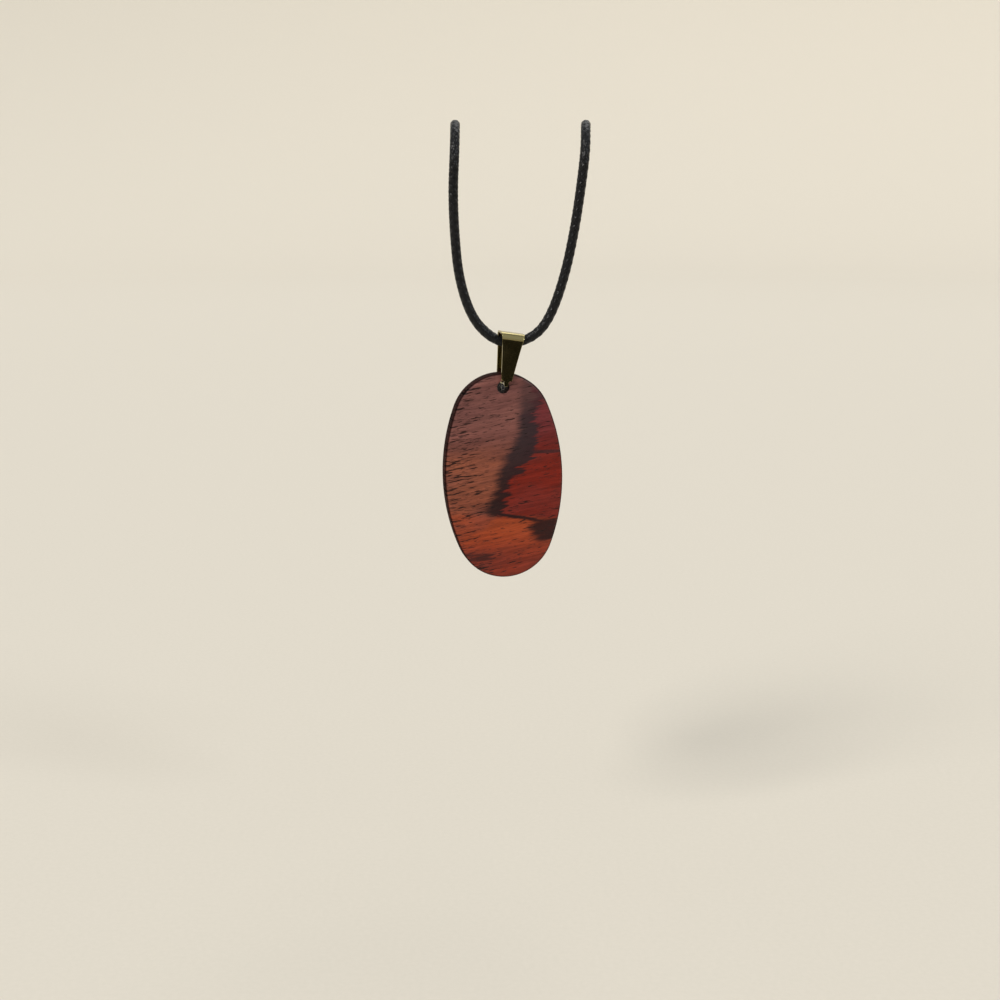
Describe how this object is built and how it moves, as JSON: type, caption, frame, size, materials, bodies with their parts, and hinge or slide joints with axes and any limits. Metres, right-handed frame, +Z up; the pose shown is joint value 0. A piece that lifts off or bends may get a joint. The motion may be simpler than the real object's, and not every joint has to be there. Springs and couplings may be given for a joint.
{
  "type": "pendant necklace",
  "caption": "Flat oval hardwood pendant on a polished tapered bail and a braided cord with a claw clasp and extension chain, stored hanging with the spare cord in a tied hank.",
  "frame": {"origin": "on the flat top of the display or hook that the cord hangs over, midway between its two strands, level with the cord's underside", "axes": "+Z up, -Y towards the front where the pendant hangs, +X to the right seen from the front"},
  "size_m": [0.0305, 0.044, 0.0917],
  "materials": {
    "wood": "oiled figured hardwood, satin, dark streaks",
    "gold": "polished gold-coloured plating",
    "cord": "black waxed braid",
    "tie": "black waxed thread",
    "spring_steel": "bright wire"
  },
  "bodies": {
    "cord": {"cord": "cord", "cord_end_left": "gold", "cord_end_right": "gold", "hank_tie": "tie"},
    "bail": {"bail": "gold"},
    "pendant": {"pendant": "wood"},
    "clasp_ring": {"clasp_ring": "gold"},
    "clasp": {"clasp_body": "gold", "clasp_pin": "gold", "clasp_spring": "spring_steel"},
    "lever": {"clasp_lever": "gold"},
    "chain_ring": {"chain_ring": "gold"},
    "chain_link_1": {"chain_link_1": "gold"},
    "chain_link_2": {"chain_link_2": "gold"},
    "chain_link_3": {"chain_link_3": "gold"},
    "chain_link_4": {"chain_link_4": "gold"},
    "chain_link_5": {"chain_link_5": "gold"},
    "chain_link_6": {"chain_link_6": "gold"},
    "chain_link_7": {"chain_link_7": "gold"},
    "drop_ring": {"drop_ring": "gold"},
    "chain_drop": {"chain_drop": "gold"}
  },
  "joints": [
    {"name": "bail_swing", "type": "hinge", "parent": "cord", "child": "bail", "pos_m": [-0.0019, 0, -0.0419], "axis": [-0.9781, -0.2079, 0], "range_deg": [-2, 85]},
    {"name": "pendant_swing", "type": "hinge", "parent": "bail", "child": "pendant", "pos_m": [-0.00347, -0.00033, -0.04995], "axis": [-0.2079, 0.9781, 0], "range_deg": [-40, 40]},
    {"name": "clasp_ring_swing", "type": "hinge", "parent": "cord", "child": "clasp_ring", "pos_m": [-0.006, 0.0088, -0.0647], "axis": [1, 0, 0], "range_deg": [-8, 35]},
    {"name": "clasp_swing", "type": "hinge", "parent": "clasp_ring", "child": "clasp", "pos_m": [-0.006, 0.0088, -0.06724], "axis": [0, 1, 0], "range_deg": [-2, 60]},
    {"name": "clasp_trigger", "type": "hinge", "parent": "clasp", "child": "lever", "pos_m": [-0.0069, 0.0088, -0.07038], "axis": [0, -1, 0], "range_deg": [0, 22], "stiffness_Nm_per_rad": 0.0001, "springref_deg": -8.59, "deforming": ["clasp_spring"]},
    {"name": "chain_ring_swing", "type": "hinge", "parent": "cord", "child": "chain_ring", "pos_m": [-0.001, 0.0088, -0.0647], "axis": [1, 0, 0], "range_deg": [-10, 25]},
    {"name": "chain_link_1_swing", "type": "hinge", "parent": "chain_ring", "child": "chain_link_1", "pos_m": [-0.001, 0.0088, -0.06724], "axis": [0, -1, 0], "range_deg": [-3, 45]},
    {"name": "chain_link_2_swing", "type": "hinge", "parent": "chain_link_1", "child": "chain_link_2", "pos_m": [-0.001, 0.0088, -0.06935], "axis": [-1, 0, 0], "range_deg": [-25, 14]},
    {"name": "chain_link_3_swing", "type": "hinge", "parent": "chain_link_2", "child": "chain_link_3", "pos_m": [-0.001, 0.0088, -0.0715], "axis": [0, 1, 0], "range_deg": [-45, 8]},
    {"name": "chain_link_4_swing", "type": "hinge", "parent": "chain_link_3", "child": "chain_link_4", "pos_m": [-0.001, 0.0088, -0.07364], "axis": [1, 0, 0], "range_deg": [-18, 30]},
    {"name": "chain_link_5_swing", "type": "hinge", "parent": "chain_link_4", "child": "chain_link_5", "pos_m": [-0.001, 0.0088, -0.07577], "axis": [0, -1, 0], "range_deg": [-20, 45]},
    {"name": "chain_link_6_swing", "type": "hinge", "parent": "chain_link_5", "child": "chain_link_6", "pos_m": [-0.001, 0.0088, -0.07791], "axis": [-1, 0, 0], "range_deg": [-40, 25]},
    {"name": "chain_link_7_swing", "type": "hinge", "parent": "chain_link_6", "child": "chain_link_7", "pos_m": [-0.001, 0.0088, -0.08006], "axis": [0, 1, 0], "range_deg": [-45, 40]},
    {"name": "drop_ring_swing", "type": "hinge", "parent": "chain_link_7", "child": "drop_ring", "pos_m": [-0.001, 0.0088, -0.0822], "axis": [1, 0, 0], "range_deg": [-30, 40]},
    {"name": "chain_drop_swing", "type": "hinge", "parent": "drop_ring", "child": "chain_drop", "pos_m": [-0.001, 0.0088, -0.08389], "axis": [0, -1, 0], "range_deg": [-40, 45]}
  ]
}
